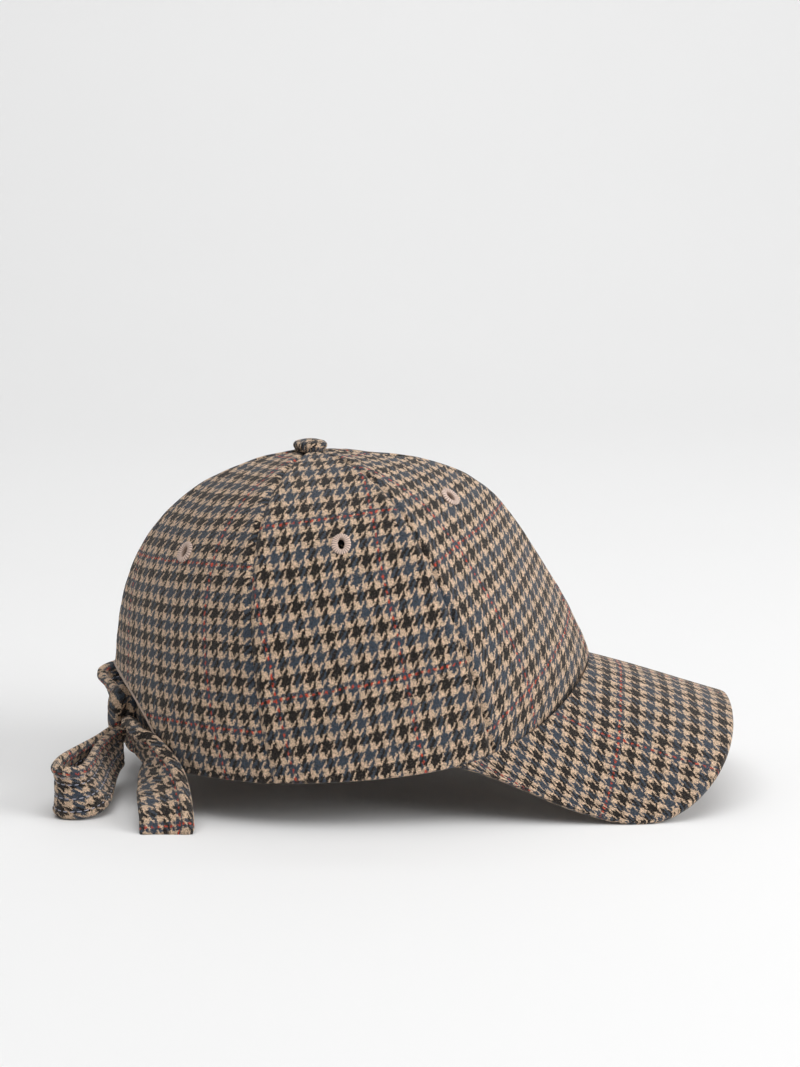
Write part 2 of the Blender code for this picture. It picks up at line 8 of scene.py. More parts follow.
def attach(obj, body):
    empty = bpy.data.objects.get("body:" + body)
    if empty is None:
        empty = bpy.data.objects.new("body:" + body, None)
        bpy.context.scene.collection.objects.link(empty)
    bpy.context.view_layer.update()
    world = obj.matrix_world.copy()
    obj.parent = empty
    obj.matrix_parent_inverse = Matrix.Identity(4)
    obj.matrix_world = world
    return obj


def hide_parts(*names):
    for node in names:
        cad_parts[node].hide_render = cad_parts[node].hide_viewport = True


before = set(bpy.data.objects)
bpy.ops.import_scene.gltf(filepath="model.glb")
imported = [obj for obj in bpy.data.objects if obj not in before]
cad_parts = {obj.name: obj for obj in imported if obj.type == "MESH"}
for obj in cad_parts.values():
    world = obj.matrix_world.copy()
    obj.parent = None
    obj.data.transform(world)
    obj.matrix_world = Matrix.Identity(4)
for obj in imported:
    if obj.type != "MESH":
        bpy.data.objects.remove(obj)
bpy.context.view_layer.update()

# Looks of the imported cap. Metres, +Z up, peak towards +X, the wearer's right side towards -Y.
# The shapes are built about the crown's own middle and foot, then moved by this much onto the CAD frame
CAP_SHIFT = np.array((-0.021434, 0.0, 0.018624))

# Crown, as in the CAD
CROWN_LENGTH = 0.2150
CROWN_WIDTH = 0.1640
CROWN_HEIGHT = 0.1305
CROWN_CENTRE_X = 0.0015
APEX_X = -0.0172
WALL = 0.0020
SEAM_GAP = 0.00016
HEM_RISE_LENGTH = 0.1440
HEM_SLOPE_RISE = 0.0077
HEM_BROW_RISE = 0.0320
HEM_BROW_POWER = 4.56
# Columns: rise, then the reach to the front, side and back
PROFILE = (
    (0.000, 1.000, 0.988, 0.978),
    (0.150, 0.993, 1.000, 0.998),
    (0.320, 0.971, 0.994, 0.976),
    (0.500, 0.885, 0.950, 0.938),
    (0.650, 0.793, 0.860, 0.864),
    (0.780, 0.704, 0.730, 0.738),
    (0.880, 0.610, 0.565, 0.562),
    (0.950, 0.470, 0.365, 0.345),
    (0.985, 0.285, 0.190, 0.180),
    (1.000, 0.000, 0.000, 0.000),
)
SEAMS = {
    "brow": {"hem": 0.0, "middle": 0.0, "apex": 0.0},
    "temple": {"hem": 38.5, "middle": 49.0, "apex": 48.0},
    "ear": {"hem": 100.3, "middle": 110.5, "apex": 113.0},
    "nape": {"hem": 180.0, "middle": 180.0, "apex": 180.0},
}
FLATNESS_AT_HEM = 0.10
FLATNESS_AT_APEX = 0.85
PANELS = {
    "front": {"first": "brow", "last": "temple", "eyelet_across": 0.50, "eyelet_level": 0.655},
    "side": {"first": "temple", "last": "ear", "eyelet_across": 0.46, "eyelet_level": 0.535},
    "back": {"first": "ear", "last": "nape", "eyelet_across": 0.50, "eyelet_level": 0.485},
}
SIDES = {"right": -1.0, "left": 1.0}
APEX_HOLE = 0.0030
ARCH_HALF_WIDTH = 0.0500
ARCH_HEIGHT = 0.0360

# Cloth: threads of the check, and how far apart the single red threads lie
WARP_PITCH = 0.000698
CHECK_THREADS = 16
RED_THREADS = 80
# Shares of the check: beige up to the first, dark up to the second, beige up to the third, then blue
DARK_FROM, DARK_TO, BLUE_FROM = 0.21, 0.50, 0.71
# Of every four threads on the twill's diagonal, the warp shows for this many
TWILL_THREADS = 4.0
WARP_SHOWS = 2.0
DARK_FULLNESS = 0.95
# How the cloth lies on each piece. Columns: the place of one red warp and one red weft thread from the
# piece's middle and foot, the weft's pitch, the warp's lean, and the weft's lean at the foot and at the top
CLOTH = {
    "front_right": (-0.0173, 0.0445, 0.000816, 0.000, 0.62, 0.22),
    "side_right": (0.0211, 0.0432, 0.000925, 0.032, 0.195, 0.170),
    "back_right": (0.0333, 0.0213, 0.000850, 0.160, 0.00, 0.10),
    "front_left": (0.0240, 0.0520, 0.000816, 0.000, -0.50, -0.22),
    "side_left": (-0.0160, 0.0390, 0.000900, -0.030, -0.160, -0.140),
    "back_left": (-0.0260, 0.0260, 0.000850, -0.140, 0.00, -0.08),
    "peak": (0.0547, 0.1238, 0.000830, 0.000, 0.00, 0.00),
    "button": (0.0300, 0.0340, 0.000740, 0.000, 0.30, 0.30),
    "bow": (0.0085, 0.0200, 0.000850, 0.000, 0.00, 0.00),
    "knot": (0.0300, 0.0300, 0.000850, 0.000, 0.00, 0.00),
}
LEAN_HEIGHT = 0.150
# The peak's cloth fans out from the brow, and its weft bows back at the sides
PEAK_FAN = 2.6
PEAK_FAN_START = 0.120
PEAK_WEFT_BOW = 1.35

# Relief of the crown's seams and cloth
CREASE_DEPTH = 0.0014
CREASE_SPREAD = 0.0012
SHOULDER_RISE = 0.00030
SHOULDER_PLACE = 0.0036
SHOULDER_SPREAD = 0.0020
PUCKER = 0.00042
DENT = 0.0006
EDGE_ROUND = 0.0010

# Peak, as in the CAD
PEAK_LENGTH = 0.0590
PEAK_ROUNDING = 0.0680
PEAK_HALF_WIDTH = 0.0720
PEAK_THICKNESS = 0.0040
PEAK_CORNER_SHARE = 0.45
PEAK_RIDGE_SLOPE = 0.300
PEAK_ARCH_RADIUS = 0.0755
PEAK_RIM_POWER = 3.2
PEAK_BULGE = 0.0005
# The peak's inner edge is tucked into the crown's wall by this much
PEAK_TUCK = 0.0014
PEAK_CORNER_TURN = 49.5

# Button, as in the CAD
BUTTON_RADIUS = 0.0074
BUTTON_SIDE = 0.0027
BUTTON_DOME = 0.0018
BUTTON_CLEARANCE = 0.0003

# Eyelets: stitched rings, a little taller than wide. Each pair is the half width and half height
EYELET_OUTER = np.array((0.0042, 0.0049))
EYELET_BORE = np.array((0.0014, 0.0024))
EYELET_HOLE = np.array((0.0022, 0.0033))
EYELET_STITCHES = 24
EYELET_RIDGE = 0.00030

# Bow, as in the CAD
STRIP_WIDTH = 0.0230
STRIP_THICKNESS = 0.0030
STRIP_CLEARANCE = 0.0005
STRAND_GAP = 0.0008
KNOT_SET_IN = 0.0065
KNOT_RISE = 0.0134
KNOT_HALF_DEPTH = 0.0082
KNOT_HALF_SPAN = 0.0090
KNOT_HALF_HEIGHT = 0.0135
TIE_WIDTH = 0.0207
TIE_RISE = 0.0015
TIE_OVERLAP = 0.0080
TIE_EASE = 0.0018
TIE_WALL_SHARE = 0.85
LOOPS = {
    "right": {"length": 0.0590, "fullness": 0.0100, "swing": 14.5, "lean": 0.0, "open": 24.0,
              "exit_drop": 0.0145, "nose_clear": 0.0001},
    "left": {"length": 0.0420, "fullness": 0.0060, "swing": 3.0, "lean": 45.0, "open": 0.0,
             "exit_drop": 0.0060, "nose_clear": 0.0215},
}
LOOP_DROP_POWER = 1.5
LOOP_LEAN_POWER = 3
TAIL_EXIT_DROP = {"right": 0.0115, "left": 0.0155}
TAIL_LENGTH = 0.0880
TAIL_ROUTE = (
    (0.000, 0.000, 1.00, 0.0),
    (0.004, 0.150, 1.04, 4.0),
    (0.025, 0.300, 1.06, 10.0),
    (0.055, 0.430, 1.03, 18.0),
    (0.115, 0.555, 0.95, 48.0),
    (0.200, 0.680, 0.76, 72.0),
    (0.245, 0.805, 0.44, 84.0),
    (0.260, 0.885, 0.00, 90.0),
)

# How the tails turn their lower edge away below the knot, keeping the upper edge in its place.
# Columns: share of the length, then the turn in degrees
TAIL_TUCK = ((0.00, 0.0), (0.18, 30.0), (0.36, 60.0), (0.52, 56.0), (0.68, 26.0), (0.85, 4.0), (1.00, 0.0))
# A tail is gathered to this share of its width at the knot, and lies open from this share of its length
TAIL_GATHER = 0.50
TAIL_OPEN_FROM = 0.62
# Where the tail's rolled upper edge meets its flat face, as a share of the half width
TAIL_GROOVE = 0.50

# Thickness of a strip at its upper and lower edge and its middle, and its rows of stitches, as shares of
# its half width
LOOP_ROLLS = (0.0054, 0.0042)
TAIL_ROLLS = (0.0066, 0.0040)
TIE_ROLLS = (0.0034, 0.0034)
MIDDLE_THICKNESS = 0.0024
ROLL_SPREAD = 0.20
END_ROUND = 0.0024
STITCH_ROWS = (0.58, 0.32, -0.20, -0.68)
STITCH_LENGTH = 0.0025
STITCH_GAP = 0.0006
STITCH_RADIUS = 0.00026

# Colours
BEIGE = (0.720, 0.520, 0.360)
DARK = (0.010, 0.007, 0.006)
BLUE = (0.044, 0.060, 0.084)
RED = (0.700, 0.085, 0.035)
FIBRE = (0.260, 0.205, 0.165)
RING_THREAD = (0.800, 0.600, 0.500)
SEWING_THREAD = (0.400, 0.395, 0.470)
EDGE_TAPE = (0.400, 0.300, 0.240)


# Geometry shared with the CAD

def curve_through(rows, share):
    """Smooth curve through evenly spaced rows, read at one share from 0 to 1 or an array of them."""
    rows = np.asarray(rows, float)
    place = np.clip(np.asarray(share, float), 0, 1) * (len(rows) - 1)
    i = np.minimum(place.astype(int), len(rows) - 2)
    t = (place - i)[..., None]
    more = np.vstack((2 * rows[0] - rows[1], rows, 2 * rows[-1] - rows[-2]))
    a, b, c, d = more[i], more[i + 1], more[i + 2], more[i + 3]
    return b + 0.5 * t * (c - a + t * (2 * a - 5 * b + 4 * c - d + t * (3 * (b - c) + d - a)))


def unit(v):
    v = np.asarray(v, float)
    return v / np.maximum(np.linalg.norm(v, axis=-1, keepdims=True), 1e-12)


def foot_reach(turn):
    a, b = CROWN_LENGTH / 2, CROWN_WIDTH / 2
    x0 = APEX_X - CROWN_CENTRE_X
    k = (np.cos(turn) / a) ** 2 + (np.sin(turn) / b) ** 2
    h = x0 * np.cos(turn) / a ** 2
    return (-h + np.sqrt(h * h - k * ((x0 / a) ** 2 - 1))) / k


def profile_at(level):
    rise, front, side, back = PROFILE[-2]
    table = PROFILE + ((rise, -front, -side, -back),)
    return curve_through(table, np.asarray(level, float) * (len(PROFILE) - 1) / len(PROFILE))


def smooth_crown(turn, level):
    turn, level = np.broadcast_arrays(np.asarray(turn, float), np.asarray(level, float))
    row = profile_at(level)
    ahead = np.cos(turn) ** 2
    end = np.where(np.cos(turn) > 0, row[..., 1], row[..., 3])
    reach = foot_reach(turn) * (ahead * end + (1 - ahead) * row[..., 2])
    return np.stack((APEX_X + reach * np.cos(turn), reach * np.sin(turn), CROWN_HEIGHT * row[..., 0]), -1)


def seam_turn(seam, level):
    hem, middle, apex = SEAMS[seam]["hem"], SEAMS[seam]["middle"], SEAMS[seam]["apex"]
    curve = 2 * (hem + apex - 2 * middle)
    return np.radians(hem + (apex - hem) * level - curve * level * (1 - level))


def hem_height(x):
    start = CROWN_CENTRE_X + CROWN_LENGTH / 2 - HEM_RISE_LENGTH
    along = np.maximum((x - start) / HEM_RISE_LENGTH, 0.0)
    return HEM_SLOPE_RISE * along + HEM_BROW_RISE * along ** HEM_BROW_POWER


def panel_point(row, across, level):
    """Point of a panel; across runs 0 to 1 from its first seam to its last."""
    across, level = np.broadcast_arrays(np.asarray(across, float), np.asarray(level, float))
    a, b = seam_turn(row["first"], level), seam_turn(row["last"], level)
    flat = (FLATNESS_AT_HEM + (FLATNESS_AT_APEX - FLATNESS_AT_HEM) * level)[..., None]
    share = across[..., None]
    chord = (1 - share) * smooth_crown(a, level) + share * smooth_crown(b, level)
    return (1 - flat) * smooth_crown(a + (b - a) * across, level) + flat * chord


def panel_normal(row, across, level):
    step = 1e-3
    up = panel_point(row, across, np.minimum(level + step, 1)) - panel_point(row, across, np.maximum(level - step, 0))
    round_ = panel_point(row, across + step, level) - panel_point(row, across - step, level)
    return unit(np.cross(round_, up))


def halved(low, high, below):
    """Arrays of places where below turns from true to false, found by halving."""
    low, high = np.array(low, float), np.array(high, float)
    for _ in range(26):
        middle = (low + high) / 2
        under = below(middle)
        low = np.where(under, middle, low)
        high = np.where(under, high, middle)
    return (low + high) / 2


def hem_level(row, across):
    def under(level):
        p = panel_point(row, across, level)
        return p[..., 2] < hem_height(p[..., 0])
    zero = np.zeros_like(across)
    return halved(zero, zero + 0.5, under)


def top_level(row):
    def outside(level):
        p = panel_point(row, 0.5, level)
        return np.hypot(p[..., 0] - APEX_X, p[..., 1]) > APEX_HOLE
    return float(halved(0.9, 1.0, outside))


def seat(row, y, height):
    """Across and level of the panel's place at a distance from the middle plane and a height."""
    y, height = np.broadcast_arrays(np.asarray(y, float), np.asarray(height, float))
    zero = np.zeros_like(y)
    level = halved(zero, zero + 0.8, lambda k: panel_point(row, 0.5, k)[..., 2] < height)
    across = halved(zero, zero + 1.0, lambda k: panel_point(row, k, level)[..., 1] > y)
    return across, level


# Mesh helpers

def grain(p, size):
    """Soft noise from -1 to 1 with lumps of about this size."""
    return noise.noise((float(p[0]) / size, float(p[1]) / size, float(p[2]) / size))


def add_mesh(name, points, faces, finish, uvs=None, shift=True):
    """Object from points and faces; uvs holds a pair for each point."""
    points = np.asarray(points, float)
    if shift:
        points = points + CAP_SHIFT
        # What rests on the surface is flattened there
        points[:, 2] = np.maximum(points[:, 2], 0.00005)
    mesh = bpy.data.meshes.new(name)
    mesh.from_pydata([tuple(p) for p in points.tolist()], [], faces)
    if uvs is not None:
        layer = mesh.uv_layers.new(name="cloth")
        uvs = np.asarray(uvs, float)
        corners = np.empty(len(mesh.loops), int)
        mesh.loops.foreach_get("vertex_index", corners)
        layer.data.foreach_set("uv", uvs[corners].astype(np.float32).ravel())
    mesh.materials.append(finish)
    mesh.shade_smooth()
    made = bpy.data.objects.new(name, mesh)
    bpy.context.scene.collection.objects.link(made)
    return made


def grid_faces(rows, cols, start=0, turned=False, closed=False):
    faces = []
    for i in range(rows - 1):
        for j in range(cols if closed else cols - 1):
            m = (j + 1) % cols
            a, b = start + i * cols + j, start + i * cols + m
            quad = (a, b, b + cols, a + cols)
            faces.append(tuple(reversed(quad)) if turned else quad)
    return faces


def facing_out(points, faces):
    """The faces, turned over if together they enclose a negative volume."""
    fans = np.array([(f[0], f[k], f[k + 1]) for f in faces for k in range(1, len(f) - 1)])
    a, b, c = (np.asarray(points, float)[fans[:, k]] for k in range(3))
    volume = (a * np.cross(b, c)).sum()
    return faces if volume > 0 else [tuple(reversed(f)) for f in faces]


def wall_between(outer, inner):
    """Points and faces of a closed wall between two grids of the same size."""
    rows, cols = outer.shape[:2]
    size = rows * cols
    points = np.concatenate((outer.reshape(-1, 3), inner.reshape(-1, 3)))
    faces = grid_faces(rows, cols) + grid_faces(rows, cols, size, turned=True)
    rim = list(range(cols))
    rim += [i * cols + cols - 1 for i in range(1, rows)]
    rim += [(rows - 1) * cols + j for j in range(cols - 2, -1, -1)]
    rim += [i * cols for i in range(rows - 2, 0, -1)]
    for k, a in enumerate(rim):
        b = rim[(k + 1) % len(rim)]
        faces.append((b, a, a + size, b + size))
    return points, facing_out(points, faces)


def tube_through(rings):
    """Points and faces of a closed tube through rings of points, with flat ends."""
    rings = np.asarray(rings, float)
    rows, sides = rings.shape[:2]
    points = rings.reshape(-1, 3)
    faces = grid_faces(rows, sides, closed=True)
    faces.append(tuple(reversed(range(sides))))
    faces.append(tuple(range((rows - 1) * sides, rows * sides)))
    return points, facing_out(points, faces)


def thread_uv(place, u, v):
    """Metres on the cloth turned into threads, with the red threads where this piece has them."""
    red_u, red_v, weft_pitch, warp_lean, foot_lean, top_lean = CLOTH[place]
    u, v = np.asarray(u), np.asarray(v)
    weft_lean = foot_lean + (top_lean - foot_lean) * v / LEAN_HEIGHT
    across, along = u + warp_lean * v, v - weft_lean * u
    return np.stack(((across - red_u) / WARP_PITCH, (along - red_v) / weft_pitch), -1)


# Materials

class Graph:
    """Short way to write a material's nodes."""

    def __init__(self, name, colour, roughness):
        self.material = bpy.data.materials.new(name)
        self.material.use_nodes = True
        self.tree = self.material.node_tree
        self.shader = self.tree.nodes["Principled BSDF"]
        self.shader.inputs["Base Color"].default_value = (*colour, 1)
        self.shader.inputs["Roughness"].default_value = roughness

    def node(self, kind, **inputs):
        made = self.tree.nodes.new(kind)
        for name, value in inputs.items():
            self.feed(made.inputs[name.replace("_", " ")], value)
        return made

    def feed(self, socket, value):
        if isinstance(value, bpy.types.NodeSocket):
            self.tree.links.new(value, socket)
        else:
            socket.default_value = value

    def math(self, operation, *values):
        made = self.tree.nodes.new("ShaderNodeMath")
        made.operation = operation
        for k, value in enumerate(values):
            self.feed(made.inputs[k], value)
        return made.outputs[0]

    def mix(self, share, a, b, blend="MIX"):
        made = self.tree.nodes.new("ShaderNodeMix")
        made.data_type = "RGBA"
        made.blend_type = blend
        for socket, value in ((made.inputs[0], share), (made.inputs[6], a), (made.inputs[7], b)):
            self.feed(socket, value)
        return made.outputs[2]

    def noise(self, where, scale, detail=2.0):
        made = self.tree.nodes.new("ShaderNodeTexNoise")
        made.inputs["Scale"].default_value = scale
        made.inputs["Detail"].default_value = detail
        self.feed(made.inputs["Vector"], where)
        return made.outputs["Fac"]

    def bump(self, height, strength, distance):
        made = self.tree.nodes.new("ShaderNodeBump")
        made.inputs["Strength"].default_value = strength
        made.inputs["Distance"].default_value = distance
        self.feed(made.inputs["Height"], height)
        self.tree.links.new(made.outputs[0], self.shader.inputs["Normal"])


def four_stripes(graph, thread):
    """Colour of one place in the repeat: beige, dark, beige and blue."""
    ramp = graph.tree.nodes.new("ShaderNodeValToRGB")
    ramp.color_ramp.interpolation = "CONSTANT"
    marks = ramp.color_ramp.elements
    marks[0].position = 0.0
    marks[0].color = (*BEIGE, 1)
    marks[1].position = DARK_FROM
    marks[1].color = (*DARK, 1)
    for place, colour in ((DARK_TO, BEIGE), (BLUE_FROM, BLUE)):
        mark = marks.new(place)
        mark.color = (*colour, 1)
    # The red thread, number 0, lies in the middle of a blue stripe
    counted = graph.math("ADD", thread, CHECK_THREADS * (1 + BLUE_FROM) / 2 - 0.5)
    share = graph.math("DIVIDE", graph.math("FLOORED_MODULO", counted, float(CHECK_THREADS)), float(CHECK_THREADS))
    graph.feed(ramp.inputs[0], share)
    return ramp.outputs[0]


def with_red(graph, thread, colour):
    """The same, with each red thread in its place."""
    place = graph.math("FLOORED_MODULO", thread, float(RED_THREADS))
    return graph.mix(graph.math("LESS_THAN", place, 1.0), colour, (*RED, 1))


def wandering(graph, where, scale, threads):
    """Two soft noises of this scale, each of about this many threads either way."""
    made = graph.tree.nodes.new("ShaderNodeTexNoise")
    made.inputs["Scale"].default_value = scale
    made.inputs["Detail"].default_value = 2.0
    graph.feed(made.inputs["Vector"], where)
    split = graph.tree.nodes.new("ShaderNodeSeparateColor")
    graph.feed(split.inputs[0], made.outputs["Color"])
    # The noise keeps mostly to the middle two fifths of its range
    return [graph.math("MULTIPLY_ADD", split.outputs[k], 5 * threads, -2.5 * threads) for k in (0, 1)]


def check_wool():
    """Brushed wool twill woven in a small check, each thread drawn over and under the others."""
    g = Graph("check_wool", BEIGE, 0.92)
    uv = g.node("ShaderNodeUVMap")
    uv.uv_map = "cloth"
    here = g.tree.nodes.new("ShaderNodeTexCoord").outputs["Object"]
    split = g.tree.nodes.new("ShaderNodeSeparateXYZ")
    g.feed(split.inputs[0], uv.outputs[0])
    # Threads wander a little, and loose fibres blur their edges
    broad, slow, quick = (wandering(g, here, *row) for row in ((38.0, 0.7), (700.0, 0.35), (2600.0, 0.60)))
    u, v = (g.math("ADD", g.math("ADD", split.outputs[k], broad[k]), g.math("ADD", slow[k], quick[k]))
            for k in (0, 1))
    warp_colour = with_red(g, u, four_stripes(g, u))
    weft_colour = with_red(g, v, four_stripes(g, v))
    twill = g.math("FLOORED_MODULO", g.math("SUBTRACT", u, v), TWILL_THREADS)
    # The darker of the two threads is the fuller one and hides more of the other
    redness = [g.node("ShaderNodeSeparateColor", Color=c).outputs[0] for c in (weft_colour, warp_colour)]
    lighter = g.math("SUBTRACT", *redness)
    warp_on_top = g.math("LESS_THAN", twill, g.math("MULTIPLY_ADD", lighter, DARK_FULLNESS, WARP_SHOWS))
    colour = g.mix(warp_on_top, weft_colour, warp_colour)
    # Heathered fibres of lighter and darker wool
    heather = g.noise(here, 1500.0, 4.0)
    shade = g.math("MULTIPLY_ADD", heather, 2.4, -0.32)
    grey = g.node("ShaderNodeCombineColor", Red=shade, Green=shade, Blue=shade).outputs[0]
    colour = g.mix(1.0, colour, grey, "MULTIPLY")
    fuzz = g.math("MULTIPLY", g.math("GREATER_THAN", g.noise(here, 1800.0, 4.0), 0.58), 0.20)
    colour = g.mix(fuzz, colour, (*FIBRE, 1))
    g.feed(g.shader.inputs["Base Color"], colour)
    # Height: rounded threads, then loose fibres
    round_u = g.math("ABSOLUTE", g.math("SINE", g.math("MULTIPLY", u, pi)))
    round_v = g.math("ABSOLUTE", g.math("SINE", g.math("MULTIPLY", v, pi)))
    swap = g.tree.nodes.new("ShaderNodeMix")
    swap.data_type = "FLOAT"
    for socket, value in ((swap.inputs[0], warp_on_top), (swap.inputs[2], round_v), (swap.inputs[3], round_u)):
        g.feed(socket, value)
    height = g.math("ADD", swap.outputs[0], g.math("MULTIPLY", g.noise(here, 1800.0, 4.0), 2.2))
    g.bump(height, 0.60, 0.00034)
    rough = g.math("MULTIPLY_ADD", heather, 0.15, 0.82)
    g.feed(g.shader.inputs["Roughness"], rough)
    g.shader.inputs["Sheen Weight"].default_value = 0.24
    g.shader.inputs["Sheen Roughness"].default_value = 0.50
    g.shader.inputs["Sheen Tint"].default_value = (0.95, 0.90, 0.86, 1)
    g.shader.inputs["Specular IOR Level"].default_value = 0.15
    return g.material


def thread(name, colour, scale=2600.0, strength=0.5, painted_dip_shade=False):
    """Matt twisted thread; for a ridged ring, shade is painted into the dips between the stitches."""
    g = Graph(name, colour, 0.8)
    here = g.tree.nodes.new("ShaderNodeTexCoord").outputs["Object"]
    fibres = g.noise(here, scale, 3.0)
    dark = tuple(0.62 * c for c in colour) + (1,)
    light = tuple(min(1.25 * c, 1.0) for c in colour) + (1,)
    mixed = g.mix(fibres, dark, light)
    if painted_dip_shade:
        ridge = g.node("ShaderNodeAttribute")
        ridge.attribute_name = "ridge"
        # Painted shade: the lower the ridge, the darker the thread, so the dips between the stitches look shaded
        depth = g.math("POWER", ridge.outputs["Fac"], 2.0)
        mixed = g.mix(depth, tuple(0.22 * c for c in colour) + (1,), mixed)
    g.feed(g.shader.inputs["Base Color"], mixed)
    g.feed(g.shader.inputs["Roughness"], g.math("MULTIPLY_ADD", fibres, 0.2, 0.65))
    g.shader.inputs["Sheen Weight"].default_value = 0.2
    g.bump(fibres, strength, 0.00015)
    return g.material


def plain(name, colour, roughness):
    """Faintly mottled paper-like backdrop."""
    g = Graph(name, colour, roughness)
    here = g.tree.nodes.new("ShaderNodeTexCoord").outputs["Object"]
    soft = g.noise(here, 3.0, 1.0)
    dark = tuple(0.985 * c for c in colour) + (1,)
    g.feed(g.shader.inputs["Base Color"], g.mix(soft, dark, (*colour, 1)))
    return g.material


# Crown panels

def graded(ends, count):
    """Places from 0 to 1 with a few closer ones at both ends."""
    middle = np.linspace(0.05, 0.95, count)
    return np.concatenate((ends, middle, 1 - np.array(ends)[::-1]))


def flat_cloth(row, across, level):
    """Distances on the flat gore: across from its middle line and up from the foot along it."""
    levels = np.linspace(0, 1, 121)
    shares = np.linspace(0, 1, 41)
    grid = panel_point(row, shares[None, :], levels[:, None])
    steps = np.linalg.norm(np.diff(grid, axis=1), axis=2)
    along = np.concatenate((np.zeros((len(levels), 1)), np.cumsum(steps, axis=1)), axis=1)
    along -= along[:, 20:21]
    climb = np.linalg.norm(np.diff(grid[:, 20], axis=0), axis=1)
    climb = np.concatenate(([0.0], np.cumsum(climb)))
    v = np.interp(level, levels, climb)
    i = np.clip((level * 120).astype(int), 0, 119)
    j = np.clip((across * 40).astype(int), 0, 39)
    s, t = level * 120 - i, across * 40 - j
    low = along[i, j] * (1 - t) + along[i, j + 1] * t
    high = along[i + 1, j] * (1 - t) + along[i + 1, j + 1] * t
    return low * (1 - s) + high * s, v


def make_panel(name, side, cloth):
    row, mirror = PANELS[name], SIDES[side]
    shares = graded((0.0, 0.004, 0.009, 0.016, 0.026, 0.038), 74)
    rises = np.concatenate(((0.0, 0.0012, 0.0030, 0.0060, 0.0100), np.linspace(0.016, 1.0, 110)))
    share, rise = np.meshgrid(shares, rises)
    hem = hem_level(row, shares)[None, :]
    level = hem + (top_level(row) - hem) * rise
    width = np.linalg.norm(panel_point(row, 1.0, level) - panel_point(row, 0.0, level), axis=-1)
    inset = SEAM_GAP / 2 / width
    across = inset + (1 - 2 * inset) * share
    u, v = flat_cloth(row, across, level)
    foot = v[:1]
    base = panel_point(row, across, level)
    normal = panel_normal(row, across, level)
    # Relief: creased seams, the ridge of their turned edges, puckers along them, broad dents, round hem
    from_first = u - u[:, :1]
    from_last = u[:, -1:] - u
    near = np.minimum(from_first, from_last)
    lift = -CREASE_DEPTH * np.exp(-(near / CREASE_SPREAD) ** 2)
    lift += SHOULDER_RISE * np.exp(-((near - SHOULDER_PLACE) / SHOULDER_SPREAD) ** 2)
    seed = 7.0 * (1 + list(PANELS).index(name)) + 40.0 * mirror
    rough = np.empty(lift.shape)
    for k in np.ndindex(lift.shape):
        first = from_first[k] < from_last[k]
        wave = grain((0.0 if first else 9.0, v[k], seed), 0.0075)
        rough[k] = PUCKER * wave * np.exp(-near[k] / 0.007) + DENT * grain(base[k] + seed, 0.040)
    rough *= 1 - np.exp(-(near / 0.0012) ** 2) * 0.7
    lift += rough
    above = np.maximum(v - foot, 0)
    curl = np.maximum(EDGE_ROUND - above, 0)
    lift -= EDGE_ROUND - np.sqrt(np.maximum(EDGE_ROUND ** 2 - curl ** 2, 0))
    outer = base + lift[..., None] * normal
    inner = base - (WALL + np.minimum(rough, 0) * 0 + 0.0002)[..., None] * normal
    inner[0, :, 2] = np.maximum(inner[0, :, 2], outer[0, :, 2])
    for grid in (outer, inner):
        grid[..., 1] *= mirror
    points, faces = wall_between(outer, inner)
    flat = thread_uv("%s_%s" % (name, side), mirror * u, v)
    uvs = np.concatenate((flat.reshape(-1, 2), flat.reshape(-1, 2)))
    made = add_mesh("crown_%s_%s" % (name, side), points, faces, cloth, uvs)
    return made, row, mirror


def drilled(obj, cutters):
    """Cuts the closed shapes out of the piece and leaves them out of the scene."""
    for cutter in cutters:
        modifier = obj.modifiers.new("Cut", "BOOLEAN")
        modifier.operation = "DIFFERENCE"
        modifier.solver = "EXACT"
        modifier.object = cutter
    bpy.context.view_layer.update()
    graph = bpy.context.evaluated_depsgraph_get()
    mesh = bpy.data.meshes.new_from_object(obj.evaluated_get(graph), preserve_all_data_layers=True, depsgraph=graph)
    old = obj.data
    obj.modifiers.clear()
    obj.data = mesh
    bpy.data.meshes.remove(old)
    for cutter in cutters:
        bpy.data.objects.remove(cutter, do_unlink=True)
    obj.data.shade_smooth()
    obj.data.set_sharp_from_angle(angle=radians(60.0))


def hole_cutter(at, n):
    e1, e2 = eyelet_axes(n)
    turn = np.linspace(0, 2 * pi, 24, endpoint=False)[:, None]
    ring = EYELET_HOLE[0] * np.cos(turn) * e1 + EYELET_HOLE[1] * np.sin(turn) * e2
    points, faces = tube_through((at - 0.005 * n + ring, at + 0.005 * n + ring))
    return add_mesh("cutter_hole", points, faces, cloth)


def arch_cutter(finish):
    back = CROWN_CENTRE_X - CROWN_LENGTH / 2
    turn = np.linspace(pi, 0, 60)
    ys = np.concatenate(((ARCH_HALF_WIDTH, -ARCH_HALF_WIDTH), ARCH_HALF_WIDTH * np.cos(turn)))
    zs = np.concatenate(((-ARCH_HEIGHT, -ARCH_HEIGHT), ARCH_HEIGHT * np.sin(turn)))
    rings = [np.stack((np.full_like(ys, x), ys, zs), -1) for x in (back + 0.055, back - 0.027)]
    points, faces = tube_through(rings)
    return add_mesh("cutter_arch", points, faces, finish)


def eyelet_axes(n):
    level = unit(np.cross(n, (0.0, 0.0, 1.0)))
    return level, np.cross(n, level)


